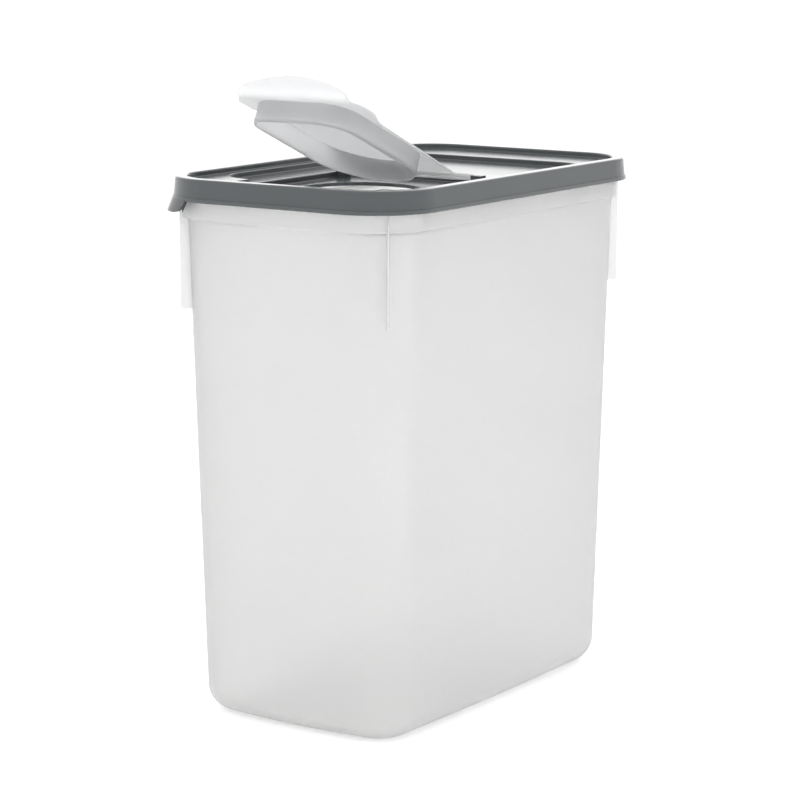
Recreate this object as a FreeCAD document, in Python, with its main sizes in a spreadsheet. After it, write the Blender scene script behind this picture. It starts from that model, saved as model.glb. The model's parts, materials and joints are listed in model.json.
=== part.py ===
import FreeCAD, Part
import math
import os

import Sketcher

# Pet food bin: a tapered tub, a lift-off lid and a pouring flap hinged on the lid.
# The origin is the middle of the underside. +Z is up, the spout end faces -Y and the
# hinge pin lies along X.

DRIVING_SIZES = {
    # Whole object
    "overall_height": 368.8,
    "lid_width": 202.0,
    "lid_length": 320.0,
    "lid_corner": 45.0,
    # Tub
    "foot_width": 168.0,
    "foot_length": 286.0,
    "foot_corner": 36.0,
    "foot_round": 17.0,
    "tub_wall": 1.8,
    "tub_width": 184.6,
    "mouth_corner": 36.3,
    "band_height": 341.0,
    "band_step": 2.3,
    "brim_top": 366.6,
    "brim_wall": 3.2,
    "brim_reach": 2.6,
    "fin_bottom": 279.0,
    "fin_wall": 1.3,
    "fin_reach": 52.3,
    # Lid
    "lid_wall": 1.5,
    "skirt_height": 15.3,
    "skirt_draft": 1.5,
    "skirt_wall": 2.0,
    "bead_height": 2.8,
    "bead_reach": 0.5,
    "rim_round": 2.0,
    "rim_inner_round": 1.2,
    "rim_width": 10.0,
    "rim_depth": 3.8,
    "rim_roof": 1.8,
    "plug_depth": 6.5,
    "wide_pan_width": 172.0,
    "wide_pan_front": 107.0,
    "wide_pan_back": 111.0,
    "wide_pan_corner": 30.0,
    "wide_pan_depth": 4.0,
    "deep_pan_width": 119.0,
    "deep_pan_front": 104.0,
    "deep_pan_back": 18.0,
    "deep_pan_corner": 10.0,
    "front_pan_width": 108.0,
    "front_pan_front": 148.0,
    "front_pan_back": -90.0,
    "front_pan_corner": 12.0,
    "deep_floor": 8.3,
    "deck_round": 0.8,
    "pan_round": 1.0,
    "collar_height": 0.9,
    "collar_wall": 1.8,
    "plug_play": 1.0,
    "tab_wall": 1.8,
    "tab_span": 58.0,
    "tab_width": 46.6,
    "tab_root": 3.5,
    "tab_drop": 7.5,
    "tab_flare": 4.1,
    "tab_round": 9.0,
    # Hinge
    "hinge_back": 4.0,
    "hinge_drop": 5.8,
    "rest_opening": 23.0,
    "bar_radius": 2.6,
    "bar_taper_at": 36.0,
    "bar_end_radius": 2.1,
    "bar_half": 52.2,
    "pin_radius": 1.6,
    "pin_half": 57.4,
    "pin_play": 0.05,
    "socket_half": 58.0,
    "boss_half": 52.5,
    "boss_width": 7.0,
    "boss_rise": 1.4,
    "snap_gap": 2.7,
    # Flap, measured from the hinge axis
    "flap_wall": 1.6,
    "flap_heel": 36.0,
    "flap_side": 39.2,
    "flap_side_at": 60.0,
    "flap_waist": 41.5,
    "flap_waist_at": 106.0,
    "flap_shoulder": 50.0,
    "flap_shoulder_at": 122.0,
    "flap_shoulder_end": 141.0,
    "flap_neck": 43.5,
    "flap_neck_at": 144.0,
    "lip_radius": 8.0,
    "lip_rise": 13.8,
    "lip_crown": 119.0,
    "lip_corner": 4.0,
    "ring_width": 78.0,
    "ring_start": 22.0,
    "ring_end": 145.0,
    "ring_back_corner": 37.5,
    "ring_front_corner": 20.0,
    "ring_depth": 14.5,
    "ring_wall": 1.5,
}

doc = FreeCAD.newDocument("pet_food_bin")
sheet = doc.addObject("Spreadsheet::Sheet", "Sizes")
for row, (alias, number) in enumerate(DRIVING_SIZES.items(), start=1):
    sheet.set(f"A{row}", alias.replace("_", " "))
    sheet.set(f"B{row}", str(number))
    sheet.setAlias(f"B{row}", alias)
doc.recompute()


def value(expression):
    """The number that an expression over the sheet works out to."""
    return float(sheet.evalExpression(expression))


def cells(expression):
    """The expression with each alias written as a cell of the sheet."""
    words = expression.replace("(", "( ").replace(")", " )").split()
    return " ".join(f"Sizes.{word}" if word in DRIVING_SIZES else word for word in words)


def bind(feature, prop, expression):
    feature.setExpression(prop, cells(expression))


def make_body(label):
    body = doc.addObject("PartDesign::Body", label)
    body.Label = label
    return body


def make_sketch(body, name, role, across="0", up="0", out="0"):
    """A sketch on one of the body's origin planes, shifted in the plane and out of it."""
    sketch = body.newObject("Sketcher::SketchObject", name)
    plane = next(item for item in body.Origin.OriginFeatures if item.Role == role)
    sketch.AttachmentSupport = [(plane, "")]
    sketch.MapMode = "FlatFace"
    for axis, expression in zip("xyz", (across, up, out)):
        bind(sketch, f"AttachmentOffset.Base.{axis}", expression)
    return sketch


def turn_about_height(sketch, degrees):
    """Turns an upright sketch about +Z, which is the sketch's own Y."""
    shift = sketch.AttachmentOffset.Base
    turn = FreeCAD.Rotation(FreeCAD.Vector(0, 1, 0), degrees)
    sketch.AttachmentOffset = FreeCAD.Placement(shift, turn)


def set_place(sketch, geometry, end, across, up):
    """Holds one end of a piece of geometry at a distance from the sketch's origin."""
    for kind, expression in (("DistanceX", across), ("DistanceY", up)):
        number = value(cells(expression))
        index = sketch.addConstraint(Sketcher.Constraint(kind, -1, 1, geometry, end, number))
        bind(sketch, f"Constraints[{index}]", expression)


def draw_loop(sketch, points):
    """A closed outline of straight edges through points given as pairs of expressions."""
    spots = [FreeCAD.Vector(value(cells(a)), value(cells(b)), 0) for a, b in points]
    first = sketch.GeometryCount
    count = len(spots)
    for index in range(count):
        sketch.addGeometry(Part.LineSegment(spots[index], spots[(index + 1) % count]), False)
    for index, (across, up) in enumerate(points):
        following = first + index
        before = first + (index - 1) % count
        sketch.addConstraint(Sketcher.Constraint("Coincident", before, 2, following, 1))
        set_place(sketch, following, 1, across, up)


def draw_circle(sketch, radius):
    circle = Part.Circle(FreeCAD.Vector(0, 0, 0), FreeCAD.Vector(0, 0, 1), value(cells(radius)))
    index = sketch.addGeometry(circle, False)
    sketch.addConstraint(Sketcher.Constraint("Coincident", index, 3, -1, 1))
    held = sketch.addConstraint(Sketcher.Constraint("Radius", index, value(cells(radius))))
    bind(sketch, f"Constraints[{held}]", radius)


def draw_rounded(sketch, width, length, corner, back_corner=None):
    """A rounded rectangle about the sketch's origin; its back corners can differ."""
    back_corner = back_corner or corner
    half_x = value(cells(width)) / 2
    half_y = value(cells(length)) / 2
    front_r = value(cells(corner))
    back_r = value(cells(back_corner))
    corners = [
        (half_x - front_r, -half_y + front_r, front_r, -90),
        (half_x - back_r, half_y - back_r, back_r, 0),
        (-half_x + back_r, half_y - back_r, back_r, 90),
        (-half_x + front_r, -half_y + front_r, front_r, 180),
    ]
    arcs = []
    for x, y, radius, start in corners:
        circle = Part.Circle(FreeCAD.Vector(x, y, 0), FreeCAD.Vector(0, 0, 1), radius)
        arc = Part.ArcOfCircle(circle, math.radians(start), math.radians(start + 90))
        arcs.append(sketch.addGeometry(arc, False))
    lines = []
    for index, arc in enumerate(arcs):
        begin = sketch.Geometry[arc].EndPoint
        finish = sketch.Geometry[arcs[(index + 1) % 4]].StartPoint
        lines.append(sketch.addGeometry(Part.LineSegment(begin, finish), False))
    for index, line in enumerate(lines):
        following = arcs[(index + 1) % 4]
        sketch.addConstraint(Sketcher.Constraint("Tangent", arcs[index], 2, line, 1))
        sketch.addConstraint(Sketcher.Constraint("Tangent", line, 2, following, 1))
        direction = "Vertical" if index % 2 == 0 else "Horizontal"
        sketch.addConstraint(Sketcher.Constraint(direction, line))
    sketch.addConstraint(Sketcher.Constraint("Equal", arcs[0], arcs[3]))
    sketch.addConstraint(Sketcher.Constraint("Equal", arcs[1], arcs[2]))
    holds = [
        ("DistanceX", lines[2], lines[0], width),
        ("DistanceY", lines[3], lines[1], length),
    ]
    for kind, low, high, expression in holds:
        number = value(cells(expression))
        index = sketch.addConstraint(Sketcher.Constraint(kind, low, 1, high, 1, number))
        bind(sketch, f"Constraints[{index}]", expression)
        half = Sketcher.Constraint(kind, -1, 1, high, 1, number / 2)
        index = sketch.addConstraint(half)
        bind(sketch, f"Constraints[{index}]", f"( {expression} ) / 2")
    for arc, expression in ((arcs[0], corner), (arcs[1], back_corner)):
        held = Sketcher.Constraint("Radius", arc, value(cells(expression)))
        index = sketch.addConstraint(held)
        bind(sketch, f"Constraints[{index}]", expression)


def add_extrusion(body, kind, sketch, name, length, both_ways, upward, taper):
    feature = body.newObject(kind, name)
    feature.Profile = sketch
    bind(feature, "Length", length)
    if both_ways:
        feature.SideType = "Symmetric"
    if taper:
        bind(feature, "TaperAngle", taper)
    feature.Reversed = upward
    doc.recompute()
    if feature.Shape.isNull() or not feature.Shape.isValid():
        raise RuntimeError(f"{name} is not valid")
    return feature


def add_pad(body, sketch, name, length, both_ways=False, taper=None):
    """Material raised from a sketch; a positive taper widens it as it rises."""
    kind = "PartDesign::Pad"
    return add_extrusion(body, kind, sketch, name, length, both_ways, False, taper)


def cut_pocket(body, sketch, name, length, both_ways=False, upward=False, taper=None):
    """A pocket, downward unless told otherwise, that has to take material away."""
    before = body.Tip.Shape.Volume
    kind = "PartDesign::Pocket"
    pocket = add_extrusion(body, kind, sketch, name, length, both_ways, upward, taper)
    if pocket.Shape.Volume > before - 1.0:
        raise RuntimeError(f"{name} cuts nothing")
    return pocket


def add_revolution(body, sketch, name, axis, degrees):
    """Material turned about one of the sketch's own axes, half of the angle each way."""
    feature = body.newObject("PartDesign::Revolution", name)
    feature.Profile = sketch
    feature.ReferenceAxis = (sketch, [axis])
    feature.Midplane = True
    bind(feature, "Angle", degrees)
    doc.recompute()
    if feature.Shape.isNull() or not feature.Shape.isValid():
        raise RuntimeError(f"{name} is not valid")
    return feature


def round_edges(body, name, radius, chosen):
    """Rounds each edge of the body's newest feature that the test picks."""
    base = body.Tip
    names = [f"Edge{i}" for i, edge in enumerate(base.Shape.Edges, start=1) if chosen(edge)]
    if not names:
        raise RuntimeError(f"{name} found no edge")
    fillet = body.newObject("PartDesign::Fillet", name)
    fillet.Base = (base, names)
    bind(fillet, "Radius", radius)
    doc.recompute()
    if not fillet.Shape.isValid():
        raise RuntimeError(f"{name} is not valid")
    return fillet


def lies_at(edge, height):
    box = edge.BoundBox
    return abs(box.ZMin - height) < 0.01 and abs(box.ZMax - height) < 0.01


def inside(edge, half_x, half_y):
    """Whether an edge keeps within a rectangle about the centre."""
    box = edge.BoundBox
    margin = 0.01
    across = max(abs(box.XMin), abs(box.XMax)) < half_x + margin
    along = max(abs(box.YMin), abs(box.YMax)) < half_y + margin
    return across and along


# ---------------------------------------------------------------- tub


SPREAD = "( tub_width - foot_width ) / 2"


def fill_tub(body, inset):
    """The tub's tapered block with a rounded foot, set in from its outside by a wall."""
    foot = make_sketch(body, f"{body.Label}_outline", "XY_Plane", out=inset)
    draw_rounded(
        foot,
        f"foot_width - 2 * ( {inset} )",
        f"foot_length - 2 * ( {inset} )",
        f"foot_corner - ( {inset} )",
    )
    widening = f"atan( {SPREAD} / band_height )"
    add_pad(body, foot, f"{body.Label}_block", f"band_height - ( {inset} )", taper=widening)
    floor = value(cells(inset))
    edge_name = f"{body.Label}_foot_edge"
    round_edges(body, edge_name, f"foot_round - ( {inset} )", lambda edge: lies_at(edge, floor))


def make_container():
    """The tapered tub, its stepped band, its brim and its four stacking fins."""
    core = make_body("tub_core")
    fill_tub(core, "tub_wall")
    body = make_body("container")
    fill_tub(body, "0")
    hollow = body.newObject("PartDesign::Boolean", "tub_inside")
    hollow.Type = "Cut"
    hollow.setObjects([core])
    doc.recompute()

    tub_corner = f"foot_corner + {SPREAD}"
    tub_length = "( foot_length + tub_width - foot_width )"

    # Above the tub the wall steps out over a ledge and ends in a thicker brim. The
    # band's corners are tighter than the tub's, so the ledge is widest there.
    mouth = "mouth_corner"
    rings = [
        ("ledge", "0", "tub_wall", "0", "- tub_wall", tub_corner),
        ("band", "0", "brim_top - band_height", "0", "band_step - tub_wall", mouth),
        ("brim", "brim_top - band_height - brim_wall", "brim_wall", "brim_reach",
         "band_step - tub_wall", mouth),
    ]
    for name, start, height, reach, hole, hole_corner in rings:
        ring = make_sketch(body, f"{name}_outline", "XY_Plane", out=f"band_height + {start}")
        for grow, corner in ((f"band_step + {reach}", mouth), (hole, hole_corner)):
            draw_rounded(
                ring,
                f"tub_width + 2 * ( {grow} )",
                f"{tub_length} + 2 * ( {grow} )",
                f"{corner} + {grow}",
            )
        add_pad(body, ring, name, height)

    # The fins run from their feet to under the brim, outside the ledge and the band. They
    # start inside the wall, so that they join it all the way.
    wall_top = f"{tub_corner} - tub_wall / 2"
    wall_bottom = f"foot_corner + {SPREAD} * fin_bottom / band_height - tub_wall / 2"
    band_wall = (
        f"sqrt( 2 ) * ( tub_width / 2 - mouth_corner - foot_width / 2 + foot_corner )"
        f" + mouth_corner + band_step - tub_wall / 2"
    )
    for side_x, side_y in ((1, 1), (-1, 1), (-1, -1), (1, -1)):
        label = f"{'right' if side_x > 0 else 'left'}_{'back' if side_y > 0 else 'front'}_fin"
        sketch = make_sketch(
            body,
            f"{label}_outline",
            "XZ_Plane",
            across=f"{side_x} * ( foot_width / 2 - foot_corner )",
            out=f"{-side_y} * ( foot_length / 2 - foot_corner )",
        )
        turn_about_height(sketch, math.degrees(math.atan2(side_y, side_x)))
        draw_loop(
            sketch,
            [
                (wall_bottom, "fin_bottom"),
                ("fin_reach", "fin_bottom"),
                ("fin_reach", "brim_top - brim_wall"),
                (band_wall, "brim_top - brim_wall"),
                (band_wall, "band_height + tub_wall"),
                (wall_top, "band_height"),
            ],
        )
        add_pad(body, sketch, label, "fin_wall", both_ways=True)
    return body


# ---------------------------------------------------------------- lid


def lid_ring(body, name, out, inset):
    """A rounded outline set in from the lid's edge, at a height."""
    sketch = make_sketch(body, name, "XY_Plane", out=out)
    draw_rounded(
        sketch,
        f"lid_width - 2 * ( {inset} )",
        f"lid_length - 2 * ( {inset} )",
        f"lid_corner - ( {inset} )",
    )
    return sketch


def pan_outline(body, pan, name, out, grow="0"):
    """The outline of one of the deck's sunken areas, grown by a wall where asked."""
    sketch = make_sketch(
        body, name, "XY_Plane", up=f"( {pan}_back - {pan}_front ) / 2", out=out
    )
    draw_rounded(
        sketch,
        f"{pan}_width + 2 * ( {grow} )",
        f"{pan}_back + {pan}_front + 2 * ( {grow} )",
        f"{pan}_corner + {grow}",
    )
    return sketch


def hole_outline(body, name, out, grow):
    """The pouring hole: the plug ring's outline, grown all round."""
    sketch = make_sketch(
        body, name, "XY_Plane", up="hinge_back - ( ring_start + ring_end ) / 2", out=out
    )
    draw_rounded(
        sketch,
        f"ring_width + 2 * ( {grow} )",
        f"ring_end - ring_start + 2 * ( {grow} )",
        f"ring_front_corner + {grow}",
        f"ring_back_corner + {grow}",
    )
    return sketch


def make_lid():
    """The lift-off lid with its skirt, sunken deck, pouring hole, sockets and lift tab."""
    body = make_body("lid")
    skirt_foot = "overall_height - skirt_height"
    deck_top = "overall_height - rim_depth"
    deck_under = "overall_height - rim_depth - lid_wall"
    plug_foot = f"{deck_under} - plug_depth"

    # A flared cap: the skirt and the roof over the tub's brim.
    narrowing = "- atan( skirt_draft / skirt_height )"
    block = lid_ring(body, "skirt_outline", skirt_foot, "0")
    add_pad(body, block, "lid_block", "skirt_height", taper=narrowing)
    top = value(cells("overall_height"))
    round_edges(body, "rim_edge", "rim_round", lambda edge: lies_at(edge, top))
    under = lid_ring(body, "under_outline", skirt_foot, "skirt_wall")
    room = "skirt_height - rim_roof"
    cut_pocket(body, under, "under_space", room, upward=True, taper=narrowing)

    bead = lid_ring(body, "bead_outline", skirt_foot, "- bead_reach")
    draw_rounded(
        bead,
        "lid_width - 2 * skirt_wall",
        "lid_length - 2 * skirt_wall",
        "lid_corner - skirt_wall",
    )
    add_pad(body, bead, "bead", "bead_height")
    bead_foot = value(cells(skirt_foot))
    bead_top = value(cells(f"{skirt_foot} + bead_height"))
    half_width = value("Sizes.lid_width") / 2
    half_length = value("Sizes.lid_length") / 2
    round_edges(
        body,
        "bead_edges",
        "0.8 * bead_reach",
        lambda edge: (lies_at(edge, bead_top) or lies_at(edge, bead_foot))
        and not inside(edge, half_width, half_length),
    )

    # The plug that drops into the tub's mouth is hollowed from both faces, which
    # leaves the deck between the well above it and the plug wall below it.
    plug = lid_ring(body, "plug_outline", plug_foot, "rim_width - lid_wall")
    add_pad(body, plug, "plug_block", "plug_depth + lid_wall + rim_depth - 0.5 * rim_roof")
    well = lid_ring(body, "well_outline", "overall_height", "rim_width")
    cut_pocket(body, well, "well", "rim_depth")
    well_side = value(cells("lid_width / 2 - rim_width"))
    well_end = value(cells("lid_length / 2 - rim_width"))
    round_edges(
        body,
        "well_edge",
        "rim_inner_round",
        lambda edge: lies_at(edge, top) and inside(edge, well_side, well_end),
    )
    plug_space = lid_ring(body, "plug_space_outline", plug_foot, "rim_width")
    cut_pocket(body, plug_space, "plug_space", "plug_depth", upward=True)

    # Each pan is a tray under the deck, hollowed from above.
    depths = {"wide_pan": "wide_pan_depth", "deep_pan": "deep_floor", "front_pan": "deep_floor"}
    for pan, depth in depths.items():
        tray = pan_outline(body, pan, f"{pan}_tray", f"{deck_under} - {depth}", "lid_wall")
        add_pad(body, tray, f"{pan}_block", f"{depth} + 0.5 * lid_wall")
    for pan, depth in depths.items():
        hollow = pan_outline(body, pan, f"{pan}_outline", deck_top)
        cut_pocket(body, hollow, pan, depth)
    floor = f"{deck_top} - deep_floor"
    rounds = [
        (deck_top, "deck_round"),
        (f"{deck_top} - wide_pan_depth", "pan_round"),
        (floor, "pan_round"),
    ]
    for level, radius in rounds:
        height = value(cells(level))
        round_edges(body, "pan_edges", radius, lambda edge: lies_at(edge, height))

    collar = hole_outline(body, "collar_outline", floor, "plug_play + collar_wall")
    add_pad(body, collar, "collar", "collar_height")
    hole = hole_outline(body, "hole_outline", f"{floor} + collar_height", "plug_play")
    cut_pocket(body, hole, "pouring_hole", "collar_height + 2 * lid_wall")

    # The two hinge sockets: a boss at each end of the bar, with a hole and a snap slot.
    hinge_height = "overall_height - hinge_drop"
    bosses = make_sketch(body, "boss_outline", "XZ_Plane", out="- hinge_back - boss_width / 2")
    for side in (1, -1):
        inner = f"{side} * boss_half"
        outer = f"{side} * ( deep_pan_width / 2 + 0.5 * lid_wall )"
        low = f"{floor} - 0.5 * lid_wall"
        high = f"{hinge_height} + boss_rise"
        draw_loop(bosses, [(inner, low), (outer, low), (outer, high), (inner, high)])
    add_pad(body, bosses, "hinge_bosses", "boss_width")
    sockets = make_sketch(body, "socket_outline", "YZ_Plane", across="hinge_back", up=hinge_height)
    draw_circle(sockets, "pin_radius + pin_play")
    cut_pocket(body, sockets, "pin_sockets", "2 * socket_half", both_ways=True)
    slots = make_sketch(body, "slot_outline", "YZ_Plane", across="hinge_back", up=hinge_height)
    gap = "snap_gap / 2"
    draw_loop(
        slots,
        [(f"- {gap}", "0"), (gap, "0"), (gap, "2 * boss_rise"), (f"- {gap}", "2 * boss_rise")],
    )
    cut_pocket(body, slots, "snap_slots", "2 * socket_half", both_ways=True)

    # The lift tab flares down and out from the skirt's foot round the left front corner.
    tab = make_sketch(
        body,
        "tab_outline",
        "XZ_Plane",
        across="lid_corner - lid_width / 2",
        out="lid_length / 2 - lid_corner",
    )
    turn_about_height(tab, -135)
    root = "lid_corner - tab_wall"
    draw_loop(
        tab,
        [
            (root, f"{skirt_foot} + tab_root"),
            (root, skirt_foot),
            ("lid_corner + tab_flare - tab_wall", f"{skirt_foot} - tab_drop"),
            ("lid_corner + tab_flare", f"{skirt_foot} - tab_drop"),
            ("lid_corner - skirt_draft * tab_root / skirt_height", f"{skirt_foot} + tab_root"),
        ],
    )
    add_revolution(body, tab, "lift_tab", "V_Axis", "tab_span")
    # Its lower corners are cut to a wide curve, from a plane square to the lid's corner
    # that touches the tab's tip. The curve's frame stands taller than the lid.
    tip = "sqrt( 0.5 ) * ( lid_corner + tab_flare )"
    trim = make_sketch(
        body,
        "tab_trim_outline",
        "XZ_Plane",
        across=f"lid_corner - lid_width / 2 - {tip}",
        up=f"{skirt_foot} - tab_drop + skirt_height",
        out=f"lid_length / 2 - lid_corner + {tip}",
    )
    turn_about_height(trim, -45)
    draw_rounded(trim, "tab_width", "2 * skirt_height", "tab_round")
    draw_rounded(trim, "tab_width + 2 * tab_round", "2 * ( skirt_height + tab_round )", "tab_round")
    cut_pocket(body, trim, "tab_corners", "tab_flare + tab_root")
    return body


# ---------------------------------------------------------------- flap


def make_bar(body):
    """The hinge bar, which tapers to a shoulder and a pin at each end."""
    bar = make_sketch(body, "bar_outline", "XY_Plane")
    right_end = [
        ("bar_taper_at", "bar_radius"),
        ("bar_half", "bar_end_radius"),
        ("bar_half", "pin_radius"),
        ("pin_half", "pin_radius"),
        ("pin_half", "0"),
    ]
    left_end = [(f"- {along}", radius) for along, radius in reversed(right_end)]
    draw_loop(bar, left_end + right_end)
    add_revolution(body, bar, "hinge_bar", "H_Axis", "360")


def make_lip(body):
    """The finger lip: the plate's end turned up, with an arched top edge."""
    lip = make_sketch(body, "lip_outline", "YZ_Plane", across="- flap_neck_at", up="bar_radius")
    radius = value(cells("lip_radius"))
    wall = value(cells("flap_wall"))
    rise = value(cells("lip_rise"))
    centre = FreeCAD.Vector(0, radius - wall, 0)
    normal = FreeCAD.Vector(0, 0, 1)
    bends = [
        Part.ArcOfCircle(Part.Circle(centre, normal, size), math.pi, 1.5 * math.pi)
        for size in (radius, radius - wall)
    ]
    outer, inner = (lip.addGeometry(bend, False) for bend in bends)
    sides = []
    for bend in bends:
        foot = bend.StartPoint
        crest_point = FreeCAD.Vector(foot.x, rise, 0)
        sides.append(lip.addGeometry(Part.LineSegment(foot, crest_point), False))
    front, back = sides
    tops = [lip.Geometry[side].EndPoint for side in sides]
    crest = lip.addGeometry(Part.LineSegment(tops[0], tops[1]), False)
    root = lip.addGeometry(Part.LineSegment(bends[0].EndPoint, bends[1].EndPoint), False)
    lip.addConstraint(Sketcher.Constraint("Tangent", outer, 1, front, 1))
    lip.addConstraint(Sketcher.Constraint("Tangent", inner, 1, back, 1))
    corners = [(front, 2, crest, 1), (crest, 2, back, 2), (outer, 2, root, 1), (root, 2, inner, 2)]
    for one, one_end, other, other_end in corners + [(outer, 3, inner, 3)]:
        lip.addConstraint(Sketcher.Constraint("Coincident", one, one_end, other, other_end))
    lip.addConstraint(Sketcher.Constraint("Vertical", root))
    lip.addConstraint(Sketcher.Constraint("Vertical", front))
    lip.addConstraint(Sketcher.Constraint("Vertical", back))
    lip.addConstraint(Sketcher.Constraint("Horizontal", crest))
    set_place(lip, inner, 2, "0", "0")
    set_place(lip, inner, 3, "0", "lip_radius - flap_wall")
    for name, one, one_end, other, other_end, number in (
        ("flap_wall", outer, 2, inner, 2, wall),
        ("lip_rise", inner, 2, crest, 1, rise),
    ):
        held = Sketcher.Constraint("DistanceY", one, one_end, other, other_end, number)
        index = lip.addConstraint(held)
        bind(lip, f"Constraints[{index}]", name)
    add_pad(body, lip, "finger_lip", "2 * flap_neck", both_ways=True)

    arch = make_sketch(
        body, "arch_outline", "XZ_Plane", up="bar_radius", out="flap_neck_at + 2 * lip_radius"
    )
    size = value(cells("lip_crown"))
    half = value(cells("flap_neck + 1"))
    lean = math.asin(half / size)
    circle = Part.Circle(FreeCAD.Vector(0, rise - size, 0), normal, size)
    curve = Part.ArcOfCircle(circle, math.pi / 2 - lean, math.pi / 2 + lean)
    arc = arch.addGeometry(curve, False)
    spots = [curve.EndPoint, FreeCAD.Vector(-half, 2 * rise, 0), FreeCAD.Vector(half, 2 * rise, 0)]
    spots.append(curve.StartPoint)
    lines = [
        arch.addGeometry(Part.LineSegment(start, end), False)
        for start, end in zip(spots, spots[1:])
    ]
    chain = [arc] + lines
    for one, other in zip(chain, lines):
        arch.addConstraint(Sketcher.Constraint("Coincident", one, 2, other, 1))
    arch.addConstraint(Sketcher.Constraint("Coincident", lines[2], 2, arc, 1))
    arch.addConstraint(Sketcher.Constraint("Vertical", lines[0]))
    arch.addConstraint(Sketcher.Constraint("Vertical", lines[2]))
    index = arch.addConstraint(Sketcher.Constraint("Radius", arc, size))
    bind(arch, f"Constraints[{index}]", "lip_crown")
    set_place(arch, arc, 3, "0", "lip_rise - lip_crown")
    set_place(arch, lines[1], 1, "- ( flap_neck + 1 )", "2 * lip_rise")
    set_place(arch, lines[1], 2, "flap_neck + 1", "2 * lip_rise")
    cut_pocket(body, arch, "lip_arch", "2 * lip_radius")
    plate_top = value("Sizes.bar_radius")
    round_edges(
        body,
        "lip_corners",
        "lip_corner",
        lambda edge: edge.Length < 1.1 * wall and edge.BoundBox.ZMin > plate_top + rise / 4,
    )


def make_flap():
    """The pouring flap: its hinge bar, plate, finger lip and plug ring.

    It is drawn shut, with the hinge axis on the body's own X axis and the plate
    reaching towards -Y, and is then turned open about that axis.
    """
    body = make_body("flap")
    make_bar(body)

    plate = make_sketch(body, "plate_outline", "XY_Plane", out="bar_radius - flap_wall")
    right_side = [
        ("flap_heel", "0"),
        ("flap_side", "flap_side_at"),
        ("flap_waist", "flap_waist_at"),
        ("flap_shoulder", "flap_shoulder_at"),
        ("flap_shoulder", "flap_shoulder_end"),
        ("flap_neck", "flap_neck_at"),
    ]
    outline = [(f"- {across}", f"- {along}") for across, along in right_side]
    outline += [(across, f"- {along}") for across, along in reversed(right_side)]
    draw_loop(plate, outline)
    add_pad(body, plate, "plate", "flap_wall")
    make_lip(body)

    ring_middle = "- ( ring_start + ring_end ) / 2"
    ring_foot = "bar_radius - flap_wall - ring_depth"
    ring = make_sketch(body, "ring_outline", "XY_Plane", up=ring_middle, out=ring_foot)
    for inset in ("0", "ring_wall"):
        draw_rounded(
            ring,
            f"ring_width - 2 * {inset}",
            f"ring_end - ring_start - 2 * {inset}",
            f"ring_front_corner - {inset}",
            f"ring_back_corner - {inset}",
        )
    add_pad(body, ring, "plug_ring", "ring_depth + 0.5 * flap_wall")
    return body


def finish(bodies):
    """Checks every object and writes each body's shape under its own label."""
    doc.recompute()
    for item in doc.Objects:
        if "Invalid" in item.State or "Error" in item.State:
            raise RuntimeError(f"{item.Label} failed: {item.State}")
    os.makedirs("parts", exist_ok=True)
    for body in bodies:
        shape = body.Shape
        if shape.isNull() or not shape.isValid() or len(shape.Solids) != 1:
            raise RuntimeError(f"{body.Label} is not one valid solid")
        shape.exportStep(f"parts/{body.Label}.step")
        print(body.Label, round(shape.Volume / 1000.0, 1), "cm3", shape.BoundBox)


container = make_container()
lid = make_lid()
flap = make_flap()
flap.Placement.Rotation = FreeCAD.Rotation(FreeCAD.Vector(1, 0, 0), -value("Sizes.rest_opening"))
bind(flap, "Placement.Base.y", "hinge_back")
bind(flap, "Placement.Base.z", "overall_height - hinge_drop")
finish([container, lid, flap])
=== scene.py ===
import json
import math

import bmesh
import bpy
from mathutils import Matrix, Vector


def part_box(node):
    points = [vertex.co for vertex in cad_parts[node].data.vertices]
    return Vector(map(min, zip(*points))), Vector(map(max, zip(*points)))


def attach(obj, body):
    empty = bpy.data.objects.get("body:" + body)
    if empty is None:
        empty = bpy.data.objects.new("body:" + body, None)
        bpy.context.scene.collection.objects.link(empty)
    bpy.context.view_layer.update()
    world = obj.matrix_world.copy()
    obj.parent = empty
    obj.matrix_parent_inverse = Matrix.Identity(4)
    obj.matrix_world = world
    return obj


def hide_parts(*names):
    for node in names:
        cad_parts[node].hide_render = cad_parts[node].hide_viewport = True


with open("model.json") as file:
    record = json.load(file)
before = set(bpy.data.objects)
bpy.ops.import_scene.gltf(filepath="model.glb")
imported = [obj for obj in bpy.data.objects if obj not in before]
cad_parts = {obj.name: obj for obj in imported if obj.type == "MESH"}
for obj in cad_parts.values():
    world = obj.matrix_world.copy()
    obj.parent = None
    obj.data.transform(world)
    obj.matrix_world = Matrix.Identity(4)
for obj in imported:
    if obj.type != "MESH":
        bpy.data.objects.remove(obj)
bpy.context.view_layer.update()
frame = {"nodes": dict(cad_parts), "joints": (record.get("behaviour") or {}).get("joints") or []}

# Shapes are drawn in millimetres and made into metres at the end. Materials work in metres.
MM = 0.001
RIM_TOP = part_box("container")[1].z / MM
HINGE = next(joint for joint in frame["joints"] if joint["name"] == "flap_hinge")
HINGE_Y = HINGE["pos_m"][1] / MM
HINGE_Z = HINGE["pos_m"][2] / MM
# How far the flap stands open at rest.
REST_OPENING = math.radians(-HINGE["range_deg"][0])
REST_SINE, REST_COSINE = math.sin(REST_OPENING), math.cos(REST_OPENING)

# A Mix node's sockets when it mixes numbers and when it mixes colours.
NUMBER_A, NUMBER_B, NUMBER_OUT = 2, 3, 0
COLOUR_A, COLOUR_B, COLOUR_OUT = 6, 7, 2


# ---------------------------------------------------------------- mesh helpers


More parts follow.
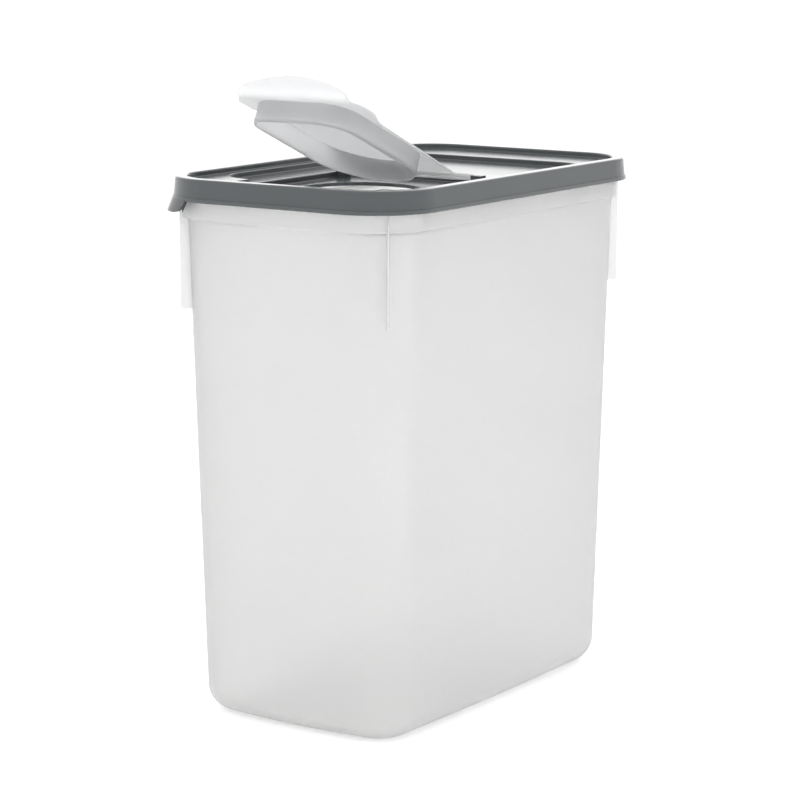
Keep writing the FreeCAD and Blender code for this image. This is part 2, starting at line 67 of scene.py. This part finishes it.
def ease(points, at):
    """A smooth curve through (position, value) points, flat beyond its ends."""
    if at <= points[0][0]:
        return points[0][1]
    if at >= points[-1][0]:
        return points[-1][1]
    index = max(i for i in range(len(points) - 1) if points[i][0] <= at)
    (x0, y0), (x1, y1) = points[index], points[index + 1]

    def slope(i):
        if i == 0:
            return 0.0
        before, after = points[i - 1], points[min(i + 1, len(points) - 1)]
        return (after[1] - before[1]) / (after[0] - before[0])

    span = x1 - x0
    t = (at - x0) / span
    a = 2 * t**3 - 3 * t**2 + 1
    b = t**3 - 2 * t**2 + t
    c = t**3 - t**2
    return a * y0 + b * span * slope(index) + (1 - a) * y1 + c * span * slope(index + 1)


def outline(half_x, half_y, corner, bow_x=0.0, bow_y=0.0, back=None, steps=14, side=28, end=18):
    """A rounded rectangle, counter-clockwise, with the same number of points at any size.

    bow_x and bow_y push the middles of its sides outward. back is the radius of its two corners
    at +Y, where that differs from corner.
    """
    back = corner if back is None else back
    corners = [
        (half_x - corner, -half_y + corner, corner, -90),
        (half_x - back, half_y - back, back, 0),
        (-half_x + back, half_y - back, back, 90),
        (-half_x + corner, -half_y + corner, corner, 180),
    ]
    arcs = []
    for x, y, radius, start in corners:
        turns = [math.radians(start + 90 * i / steps) for i in range(steps + 1)]
        arcs.append([(x + radius * math.cos(t), y + radius * math.sin(t)) for t in turns])
    points = []
    for index, arc in enumerate(arcs):
        points += arc
        (x0, y0), (x1, y1) = arc[-1], arcs[(index + 1) % 4][0]
        count = side if index % 2 == 0 else end
        for i in range(1, count):
            t = i / count
            lift = 1 - (2 * t - 1) ** 2
            x, y = x0 + (x1 - x0) * t, y0 + (y1 - y0) * t
            if index % 2 == 0:
                x += math.copysign(bow_x * lift, x)
            else:
                y += math.copysign(bow_y * lift, y)
            points.append((x, y))
    return points


def between(one, other, share):
    """The outline that lies this share of the way from one to the other."""
    return [(a[0] + (b[0] - a[0]) * share, a[1] + (b[1] - a[1]) * share) for a, b in zip(one, other)]


def stitch(mesh, rows):
    """Joins each loop of points to the next with a strip of faces."""
    count = len(rows[0])
    for one, other in zip(rows, rows[1:]):
        for i in range(count):
            j = (i + 1) % count
            mesh.faces.new((one[i], one[j], other[j], other[i]))


def ring_rows(mesh, rings):
    return [[mesh.verts.new((x, y, z)) for x, y in points] for points, z in rings]


def loft(rings):
    """A closed skin over rings of (outline, height), capped at both ends."""
    mesh = bmesh.new()
    rows = ring_rows(mesh, rings)
    stitch(mesh, rows)
    mesh.faces.new(list(reversed(rows[0])))
    mesh.faces.new(rows[-1])
    return mesh


def tube(rings):
    """A closed skin whose last ring joins its first, such as a wall round a hole."""
    mesh = bmesh.new()
    rows = ring_rows(mesh, rings)
    stitch(mesh, rows + rows[:1])
    return mesh


def piece_from(mesh, name, place=None):
    """An object in metres from a mesh drawn in millimetres, moved by place(vector)."""
    for vert in mesh.verts:
        spot = place(vert.co.copy()) if place else vert.co
        vert.co = spot * MM
    bmesh.ops.recalc_face_normals(mesh, faces=mesh.faces)
    data = bpy.data.meshes.new(name)
    mesh.to_mesh(data)
    mesh.free()
    obj = bpy.data.objects.new(name, data)
    bpy.context.scene.collection.objects.link(obj)
    return obj


def union(obj, others):
    """Welds the others into obj as one skin."""
    for other in others:
        weld = obj.modifiers.new("weld", "BOOLEAN")
        weld.operation = "UNION"
        weld.solver = "EXACT"
        weld.object = other
        graph = bpy.context.evaluated_depsgraph_get()
        data = bpy.data.meshes.new_from_object(obj.evaluated_get(graph))
        obj.modifiers.clear()
        obj.data = data
        bpy.data.objects.remove(other)


def soften(obj, degrees):
    """Smooth shading, except over edges sharper than this."""
    obj.data.shade_smooth()
    obj.data.set_sharp_from_angle(angle=math.radians(degrees))


# ---------------------------------------------------------------- materials

# Roughness stays above 0.3 in see-through plastic. The denoiser takes a surface below about 0.27
# for glass, and a texture that crosses that value leaves a bright line.
DULL_SWING = 0.06
POLISHED_ROUGHNESS = 0.31

# The polished window in the tub's front, in metres: a rounded rectangle in X and Z, how far
# inside and outside it fades, and the depths in Y between which it ends.
WINDOW_HALF_X, WINDOW_HALF_Z, WINDOW_MIDDLE_Z, WINDOW_CORNER = 0.053, 0.159, 0.171, 0.024
WINDOW_FADE = (-0.014, 0.008)
WINDOW_BACK = (-0.13, -0.125)

# The dots on the flap's plate, in metres: their spacing, how high above the hinge they reach,
# and their limits in X and Y with the flap at rest.
DOT_SPACING = 0.0026
DOT_HEIGHT = 0.0035
DOT_HALF_X, DOT_NEAR_Y, DOT_FAR_Y = 0.036, -0.02, -0.127


def new_material(name):
    material = bpy.data.materials.new(name)
    material.use_nodes = True
    nodes = material.node_tree.nodes
    return material, nodes, material.node_tree.links, nodes["Principled BSDF"]


def textures(nodes, links):
    """The object's own coordinates, and a maker of noise over them."""
    coords = nodes.new("ShaderNodeTexCoord")

    def noise(scale, detail=3.0):
        node = nodes.new("ShaderNodeTexNoise")
        node.inputs["Scale"].default_value = scale
        node.inputs["Detail"].default_value = detail
        node.inputs["Roughness"].default_value = 0.55
        links.new(coords.outputs["Object"], node.inputs["Vector"])
        return node.outputs["Fac"]

    return coords, noise


def axes(nodes, links, coords):
    """The object's own X, Y and Z as three numbers."""
    split = nodes.new("ShaderNodeSeparateXYZ")
    links.new(coords.outputs["Object"], split.inputs[0])
    return [split.outputs[axis] for axis in "XYZ"]


def maker(nodes, links):
    """A function that adds a Math node over numbers and sockets."""

    def step(operation, *values):
        node = nodes.new("ShaderNodeMath")
        node.operation = operation
        for socket, number in zip(node.inputs, values):
            if isinstance(number, float):
                socket.default_value = number
            else:
                links.new(number, socket)
        return node.outputs[0]

    return step


def spread(nodes, links, source, low, high, from_low=0.0, from_high=1.0):
    """Maps a number to low..high with soft ends."""
    node = nodes.new("ShaderNodeMapRange")
    node.interpolation_type = "SMOOTHSTEP"
    node.inputs["From Min"].default_value = from_low
    node.inputs["From Max"].default_value = from_high
    node.inputs["To Min"].default_value = low
    node.inputs["To Max"].default_value = high
    links.new(source, node.inputs["Value"])
    return node.outputs["Result"]


def mix_colour(nodes, links, share, one, other):
    node = nodes.new("ShaderNodeMix")
    node.data_type = "RGBA"
    links.new(share, node.inputs["Factor"])
    node.inputs[COLOUR_A].default_value = (*one, 1)
    node.inputs[COLOUR_B].default_value = (*other, 1)
    return node.outputs[COLOUR_OUT]


def bump(nodes, links, height, strength, distance, onto=None):
    node = nodes.new("ShaderNodeBump")
    node.inputs["Strength"].default_value = strength
    node.inputs["Distance"].default_value = distance
    links.new(height, node.inputs["Height"])
    if onto is not None:
        links.new(onto, node.inputs["Normal"])
    return node.outputs["Normal"]


def lid_material():
    """Dark grey moulded plastic with a fine satin grain."""
    material, nodes, links, shader = new_material("lid_grey_plastic")
    _, noise = textures(nodes, links)
    tone = mix_colour(nodes, links, noise(14.0, 2.0), (0.052, 0.059, 0.062), (0.068, 0.076, 0.08))
    links.new(tone, shader.inputs["Base Color"])
    links.new(spread(nodes, links, noise(60.0, 4.0), 0.17, 0.23), shader.inputs["Roughness"])
    grain = bump(nodes, links, noise(2600.0, 2.0), 0.2, 0.00004)
    links.new(bump(nodes, links, noise(45.0, 1.0), 0.12, 0.0004, grain), shader.inputs["Normal"])
    shader.inputs["IOR"].default_value = 1.6
    return material


def frosted_material(name, tint, dull, transmission, scatter, polished=None, lattice=None):
    """Milky see-through plastic, rough from the mould.

    polished(nodes, links, coords) is 1 where it is smoother, and lattice(nodes, links, coords)
    is 1 where it has raised dots.
    """
    material, nodes, links, shader = new_material(name)
    coords, noise = textures(nodes, links)
    low = tuple(0.975 * c for c in tint)
    tone = mix_colour(nodes, links, noise(9.0, 3.0), low, tint)
    rough = spread(nodes, links, noise(30.0, 3.0), dull - DULL_SWING, dull + DULL_SWING)
    if polished is not None:
        blend = nodes.new("ShaderNodeMix")
        links.new(polished(nodes, links, coords), blend.inputs["Factor"])
        links.new(rough, blend.inputs[NUMBER_A])
        blend.inputs[NUMBER_B].default_value = POLISHED_ROUGHNESS
        rough = blend.outputs[NUMBER_OUT]
    links.new(rough, shader.inputs["Roughness"])
    normal = bump(nodes, links, noise(1500.0, 2.0), 0.12, 0.00005)
    if lattice is not None:
        dots = lattice(nodes, links, coords)
        darker = nodes.new("ShaderNodeMix")
        darker.data_type = "RGBA"
        darker.blend_type = "MULTIPLY"
        links.new(dots, darker.inputs["Factor"])
        links.new(tone, darker.inputs[COLOUR_A])
        darker.inputs[COLOUR_B].default_value = (0.84, 0.87, 0.93, 1)
        tone = darker.outputs[COLOUR_OUT]
        normal = bump(nodes, links, dots, 0.5, 0.0002, normal)
    links.new(tone, shader.inputs["Base Color"])
    links.new(bump(nodes, links, noise(16.0, 1.0), 0.2, 0.0006, normal), shader.inputs["Normal"])
    shader.inputs["IOR"].default_value = 1.49
    shader.inputs["Transmission Weight"].default_value = transmission
    shader.inputs["Subsurface Weight"].default_value = 1.0
    shader.inputs["Subsurface Radius"].default_value = (1.0, 1.0, 1.0)
    shader.inputs["Subsurface Scale"].default_value = scatter
    return material


def window_mask(nodes, links, coords):
    """1 inside the polished window down the tub's front, 0 outside, with a soft edge."""
    x, y, z = axes(nodes, links, coords)
    step = maker(nodes, links)

    # Distance out from the rounded rectangle.
    across = step("SUBTRACT", step("ABSOLUTE", x), WINDOW_HALF_X - WINDOW_CORNER)
    height = step("ABSOLUTE", step("SUBTRACT", z, WINDOW_MIDDLE_Z))
    upward = step("SUBTRACT", height, WINDOW_HALF_Z - WINDOW_CORNER)
    a, b = step("MAXIMUM", across, 0.0), step("MAXIMUM", upward, 0.0)
    reach = step("SQRT", step("ADD", step("MULTIPLY", a, a), step("MULTIPLY", b, b)))

    inside = spread(nodes, links, step("SUBTRACT", reach, WINDOW_CORNER), 1.0, 0.0, *WINDOW_FADE)
    front = spread(nodes, links, y, 1.0, 0.0, *WINDOW_BACK)
    return step("MULTIPLY", inside, front)


def flap_lattice(nodes, links, coords):
    """Fine dots over the flap's plate inside its ring, 1 in each dot."""
    x, y, z = axes(nodes, links, coords)
    step = maker(nodes, links)

    def all_of(first, *others):
        for other in others:
            first = step("MULTIPLY", first, other)
        return first

    phase = 2 * math.pi / DOT_SPACING
    waves = all_of(step("SINE", all_of(x, phase)), step("SINE", all_of(y, phase)))
    dots = spread(nodes, links, waves, 0.0, 1.0, -0.1, 0.6)

    # Height above the hinge, square to the plate of the flap at rest.
    leaned = step("ADD", all_of(y, REST_SINE), all_of(z, REST_COSINE))
    above = step("SUBTRACT", leaned, (HINGE_Y * REST_SINE + HINGE_Z * REST_COSINE) * MM)
    return all_of(
        dots,
        step("GREATER_THAN", above, 0.0),
        step("LESS_THAN", above, DOT_HEIGHT),
        step("LESS_THAN", step("ABSOLUTE", x), DOT_HALF_X),
        step("LESS_THAN", y, DOT_NEAR_Y),
        step("GREATER_THAN", y, DOT_FAR_Y),
    )


# ---------------------------------------------------------------- tub

WALL = 1.8
LEDGE = 341.0

# The foot, before its sides bow, and how much the wall leans out by the ledge.
FOOT_HALF_X, FOOT_HALF_Y, FOOT_CORNER = 82.3, 139.7, 28.0
FOOT_ROUND = 17.0
FOOT_TURNS = [math.radians(10.0 * i) for i in range(10)]
FLARE, CORNER_FLARE = 8.3, 3.0
BOW_X, BOW_Y = 1.7, 3.3

# The mouth's inside over the ledge, and how much wider it is at the skin's two faces.
MOUTH_HALF_X, MOUTH_HALF_Y, MOUTH_CORNER = 92.3, 151.3, 36.3
BAND_OUTSIDE, BAND_INSIDE = 2.3, 0.5

# The brim's section, from outside to inside: how far out, and how far below its top.
BRIM = [
    (2.6, 3.5), (4.6, 3.2), (4.9, 2.6), (4.9, 0.8), (4.6, 0.2), (4.0, 0.0),
    (1.3, 0.0), (0.7, 0.3), (0.5, 1.0),
]

# The stacking fins, which point outward from a root inside each corner.
FIN_ROOT_X, FIN_ROOT_Y = 48.0, 107.0
FIN_LOW, FIN_HIGH = 279.0, RIM_TOP - 3.4
FIN_REACH, FIN_CORNER, FIN_HALF = 52.3, 2.5, 0.65


def tub_outline(z, inset):
    """The tapered wall's bowed outline at a height, set in by a distance."""
    grow = FLARE * max(z, 0.0) / LEDGE
    corner = max(FOOT_CORNER + CORNER_FLARE * z / LEDGE - inset, 1.0)
    return outline(FOOT_HALF_X + grow - inset, FOOT_HALF_Y + grow - inset, corner, BOW_X, BOW_Y)


def mouth_outline(grow):
    return outline(MOUTH_HALF_X + grow, MOUTH_HALF_Y + grow, MOUTH_CORNER + grow)


def tub_rings():
    """The tub's skin: up its outside, over the brim and down its inside."""
    rings = [(tub_outline(0, 27.0), 0.6), (tub_outline(0, 26.0), 0.5), (tub_outline(0, 25.0), 0.0)]
    for turn in FOOT_TURNS:
        z = FOOT_ROUND * (1 - math.cos(turn))
        rings.append((tub_outline(z, FOOT_ROUND * (1 - math.sin(turn))), z))
    rings += [(tub_outline(z, 0.0), float(z)) for z in range(30, 331, 20)]

    wall, band = tub_outline(LEDGE, 0.0), mouth_outline(BAND_OUTSIDE)
    rings += [(wall, 338.5), (between(wall, band, 0.08), 339.9), (between(wall, band, 0.3), 340.7)]
    rings += [(between(wall, band, 0.75), 340.95), (between(wall, band, 0.94), 341.3), (band, 342.2)]
    rings += [(band, z) for z in (348.0, 356.0, RIM_TOP - 4.2)]
    rings += [(mouth_outline(grow), RIM_TOP - below) for grow, below in BRIM]

    inner, mouth = tub_outline(LEDGE, WALL), mouth_outline(BAND_INSIDE)
    rings += [(mouth, 356.0), (mouth, 345.0), (between(mouth, inner, 0.1), 343.7)]
    rings += [(between(mouth, inner, 0.5), 343.0), (between(mouth, inner, 0.9), 342.5), (inner, 340.5)]
    rings += [(tub_outline(z, WALL), float(z)) for z in range(330, 29, -20)]
    bend = FOOT_ROUND - WALL
    for turn in reversed(FOOT_TURNS):
        z = WALL + bend * (1 - math.cos(turn))
        rings.append((tub_outline(z, WALL + bend * (1 - math.sin(turn))), z + 0.3))
    rings.append((tub_outline(0, 26.5), WALL + 0.5))
    return rings


def fin(side_x, side_y):
    """A thin stacking fin outside one corner, from its foot up to the brim."""
    profile = [(49.0, FIN_HIGH), (49.0, 342.0), (45.4, 341.2), (43.6, FIN_LOW)]
    middle_r, middle_z = FIN_REACH - FIN_CORNER, FIN_LOW + FIN_CORNER
    for i in range(5):
        turn = math.radians(-90 + 90 * i / 4)
        profile.append((middle_r + FIN_CORNER * math.cos(turn), middle_z + FIN_CORNER * math.sin(turn)))
    profile.append((FIN_REACH, FIN_HIGH))

    mesh = bmesh.new()
    along = Vector((side_x, side_y, 0)).normalized()
    across = Vector((-along.y, along.x, 0))
    root = Vector((FIN_ROOT_X * side_x, FIN_ROOT_Y * side_y, 0))
    rows = []
    for half in (-FIN_HALF, FIN_HALF):
        row = []
        for r, z in profile:
            # A quarter thinner at the tip than at the wall.
            thin = half * (1.0 - 0.25 * (r - 43.0) / 9.3)
            row.append(mesh.verts.new(root + along * r + across * thin + Vector((0, 0, z))))
        rows.append(row)
    stitch(mesh, rows)
    mesh.faces.new(rows[1])
    mesh.faces.new(list(reversed(rows[0])))
    return piece_from(mesh, "fin")


def mark_fins(obj):
    """Gives the second material to the faces of the fins: the tub's plastic with a darker tint, which is
    painted shade.
    """
    for face in obj.data.polygons:
        x, y, z = face.center / MM
        from_x, from_y = abs(x) - FIN_ROOT_X, abs(y) - FIN_ROOT_Y
        near = FIN_LOW - 0.5 < z < FIN_HIGH + 0.1 and abs(from_x - from_y) < 1.2
        outward = Vector((math.copysign(1, x), math.copysign(1, y), 0)).normalized()
        sideways = abs(face.normal @ outward) < 0.5
        if near and (sideways or math.hypot(from_x, from_y) > 50.3):
            face.material_index = 1


tub = piece_from(loft(tub_rings()), "tub")
union(tub, [fin(x, y) for x in (1, -1) for y in (1, -1)])
soften(tub, 40)
tub.data.materials.clear()
tub.data.materials.append(
    frosted_material("tub_frosted_plastic", (0.985, 0.985, 0.98), 0.46, 0.6, 0.006, polished=window_mask)
)
# The fins' material is the tub's plastic with a darker tint that paints shade onto the fins, not a
# different plastic.
tub.data.materials.append(
    frosted_material("fin_painted_shade_plastic", (0.68, 0.685, 0.685), 0.46, 0.3, 0.006)
)
mark_fins(tub)
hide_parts("container")
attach(tub, "container")


# ---------------------------------------------------------------- lid

lid = frame["nodes"]["lid"]
lid.data.materials.clear()
lid.data.materials.append(lid_material())


# ---------------------------------------------------------------- flap

PLATE_LOW, PLATE_HIGH = 1.0, 2.6
PLATE_START, PLATE_ROWS = -2.0, 52
PLATE_COLUMNS = 40
# The plate's middle stands this much higher than its edges, by this share along it.
CROWN = 0.3
CROWN_SHARE = [(0, 0), (40, 1), (130, 1), (144, 0)]
# The finger lip bends up where the plate ends.
LIP_START, LIP_BEND, LIP_ROWS, LIP_HALF = 144.0, 8.0, 16, 43.6
# Half the sheet's width, by the distance from the hinge.
WIDTHS = [
    (-2.0, 35.6), (0.0, 36.0), (30.0, 37.8), (60.0, 39.3), (90.0, 40.3), (104.0, 41.4),
    (112.0, 44.5), (120.0, 48.8), (126.0, 50.0), (137.0, 50.0), (142.0, 48.2), (146.0, 45.0),
    (150.0, 43.8), (160.0, 43.5),
]
# The lip's height, by the distance from its middle.
CREST = [(0.0, 16.2), (10.0, 15.5), (20.0, 13.9), (30.0, 11.7), (37.0, 9.6), (41.0, 7.2), (43.5, 4.4)]

# The ring's section: how far in from its outside, and how far above the hinge.
RING = [
    (0.2, 1.9), (0.2, -6.0), (0.0, -9.0), (-0.35, -10.6), (-0.35, -11.2), (0.1, -12.6), (0.5, -13.3),
    (0.9, -13.5), (1.3, -13.3), (1.5, -12.8), (1.55, -6.0), (1.7, 1.9),
]
RING_HALF_X, RING_HALF_Y, RING_CORNER, RING_NEAR_CORNER, RING_MIDDLE = 39.0, 61.5, 20.0, 37.5, 83.5

# Half the hinge bar, from its middle to a pin's tip: distance and radius.
BAR = [
    (0.0, 2.6), (36.0, 2.6), (48.0, 2.25), (51.9, 2.1), (52.2, 1.8), (52.2, 1.6),
    (57.0, 1.6), (57.4, 1.2),
]
BAR_SIDES = 28


def on_flap(spot):
    """From the flap's own measures (across, along from the hinge, above it) to the frame's."""
    x, along, above = spot
    y = HINGE_Y - along * REST_COSINE + above * REST_SINE
    z = HINGE_Z + along * REST_SINE + above * REST_COSINE
    return Vector((x, y, z))


def flap_sheet():
    """The plate and its turned-up finger lip, as one bent sheet with a thickness."""
    columns = PLATE_COLUMNS
    shares = [math.sin(math.pi / 2 * (2 * i / columns - 1)) for i in range(columns + 1)]
    length = LIP_START - PLATE_START
    flats = [PLATE_START + length * i / PLATE_ROWS for i in range(PLATE_ROWS + 1)]

    def point(share, row, face):
        """One point of a face: 0 is the underside and 1 the top."""
        if row < len(flats):
            along = flats[row]
            crown = CROWN * (1 - share * share) * ease(CROWN_SHARE, along)
            level = PLATE_HIGH if face else PLATE_LOW
            return Vector((share * ease(WIDTHS, along), along, level + crown))
        # Round the bend by a share of the lip's full length, then straight up.
        rise = (row - len(flats) + 1) / LIP_ROWS
        top = ease(CREST, abs(share * LIP_HALF)) - PLATE_LOW
        full = math.pi / 2 * LIP_BEND + (top - LIP_BEND)
        if top < LIP_BEND:
            full = LIP_BEND * math.acos(1 - top / LIP_BEND)
        arc = full * rise
        turn = min(arc / LIP_BEND, math.pi / 2)
        straight = max(arc - LIP_BEND * math.pi / 2, 0.0)
        radius = LIP_BEND - (PLATE_HIGH - PLATE_LOW) * face
        along = LIP_START + radius * math.sin(turn)
        above = PLATE_LOW + LIP_BEND - radius * math.cos(turn) + straight
        return Vector((share * ease(WIDTHS, along), along, above))

    mesh = bmesh.new()
    count = len(flats) + LIP_ROWS
    low, high = [
        [[mesh.verts.new(point(share, row, face)) for share in shares] for row in range(count)]
        for face in (0, 1)
    ]
    for row in range(count - 1):
        for i in range(columns):
            mesh.faces.new((low[row][i], low[row + 1][i], low[row + 1][i + 1], low[row][i + 1]))
            mesh.faces.new((high[row][i], high[row][i + 1], high[row + 1][i + 1], high[row + 1][i]))
        for i in (0, columns):
            mesh.faces.new((low[row][i], high[row][i], high[row + 1][i], low[row + 1][i]))
    for row in (0, count - 1):
        for i in range(columns):
            mesh.faces.new((low[row][i], low[row][i + 1], high[row][i + 1], high[row][i]))
    return piece_from(mesh, "pouring_flap", on_flap)


def ring_outline(inset):
    points = outline(
        RING_HALF_X - inset,
        RING_HALF_Y - inset,
        RING_CORNER - inset,
        back=RING_NEAR_CORNER - inset,
        side=20,
        end=12,
    )
    return [(x, RING_MIDDLE - y) for x, y in points]


def flap_ring():
    """The plug ring under the plate, with a thin grip bead near its foot."""
    return piece_from(tube([(ring_outline(inset), z) for inset, z in RING]), "ring", on_flap)


def flap_bar():
    """The hinge bar, tapering to a shoulder and a pin at each end."""
    turns = [2 * math.pi * i / BAR_SIDES for i in range(BAR_SIDES)]
    mesh = bmesh.new()
    rows = [
        [mesh.verts.new((x, radius * math.cos(t), radius * math.sin(t))) for t in turns]
        for x, radius in [(-x, radius) for x, radius in reversed(BAR)] + BAR[1:]
    ]
    stitch(mesh, rows)
    mesh.faces.new(rows[0])
    mesh.faces.new(list(reversed(rows[-1])))
    return piece_from(mesh, "bar", on_flap)


flap = flap_sheet()
union(flap, [flap_ring(), flap_bar()])
soften(flap, 38)
flap.data.materials.clear()
flap.data.materials.append(
    frosted_material("flap_frosted_plastic", (0.77, 0.776, 0.788), 0.38, 0.4, 0.02, lattice=flap_lattice)
)
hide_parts("flap")
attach(flap, "flap")


# ---------------------------------------------------------------- studio

FLOOR_HALF = 40000.0
WORLD_STRENGTH = 1.12


def area_light(name, place, target, size, energy):
    data = bpy.data.lights.new(name, "AREA")
    data.energy = energy
    data.size = size
    obj = bpy.data.objects.new(name, data)
    obj.location = place
    obj.rotation_euler = (Vector(target) - Vector(place)).to_track_quat("-Z", "Y").to_euler()
    obj.visible_camera = False
    bpy.context.scene.collection.objects.link(obj)


def studio():
    """A pale floor that fades into a white world, a wide soft sun and a light from behind."""
    floor_mesh = bmesh.new()
    bmesh.ops.create_grid(floor_mesh, x_segments=1, y_segments=1, size=FLOOR_HALF)
    floor = piece_from(floor_mesh, "floor")
    material, nodes, links, shader = new_material("pale_floor")
    _, noise = textures(nodes, links)
    tone = mix_colour(nodes, links, noise(6.0), (0.93, 0.93, 0.93), (0.95, 0.95, 0.95))
    links.new(tone, shader.inputs["Base Color"])
    shader.inputs["Roughness"].default_value = 0.9
    shader.inputs["Emission Color"].default_value = (1, 1, 1, 1)
    shader.inputs["Emission Strength"].default_value = 0.2
    floor.data.materials.append(material)

    world = bpy.data.worlds.new("studio_world")
    bpy.context.scene.world = world
    world.use_nodes = True
    background = world.node_tree.nodes["Background"]
    background.inputs["Color"].default_value = (1, 1, 1, 1)
    background.inputs["Strength"].default_value = WORLD_STRENGTH
    sun = bpy.data.lights.new("soft_sun", "SUN")
    sun.energy = 0.2
    sun.angle = math.radians(90)
    sun_object = bpy.data.objects.new("soft_sun", sun)
    sun_object.rotation_euler = (math.radians(-12), math.radians(-8), 0)
    bpy.context.scene.collection.objects.link(sun_object)
    area_light("back_light", (-1.3, 1.9, 1.2), (0, 0, 0.36), 2.6, 20)


def camera():
    """The view that was fitted to the photo."""
    data = bpy.data.cameras.new("camera")
    data.lens = 126.64
    data.sensor_width = 36.0
    data.clip_end = 50.0
    obj = bpy.data.objects.new("camera", data)
    obj.location = (1.0936, -1.6001, 0.5605)
    obj.rotation_euler = Vector((-0.557, 0.811, -0.181)).to_track_quat("-Z", "Y").to_euler()
    bpy.context.scene.collection.objects.link(obj)
    bpy.context.scene.camera = obj


studio()
camera()
scene = bpy.context.scene
scene.view_settings.view_transform = "Standard"
# Light passes through both walls of the tub many times before it comes out.
scene.cycles.max_bounces = 20
scene.cycles.transmission_bounces = 20
scene.cycles.diffuse_bounces = 10
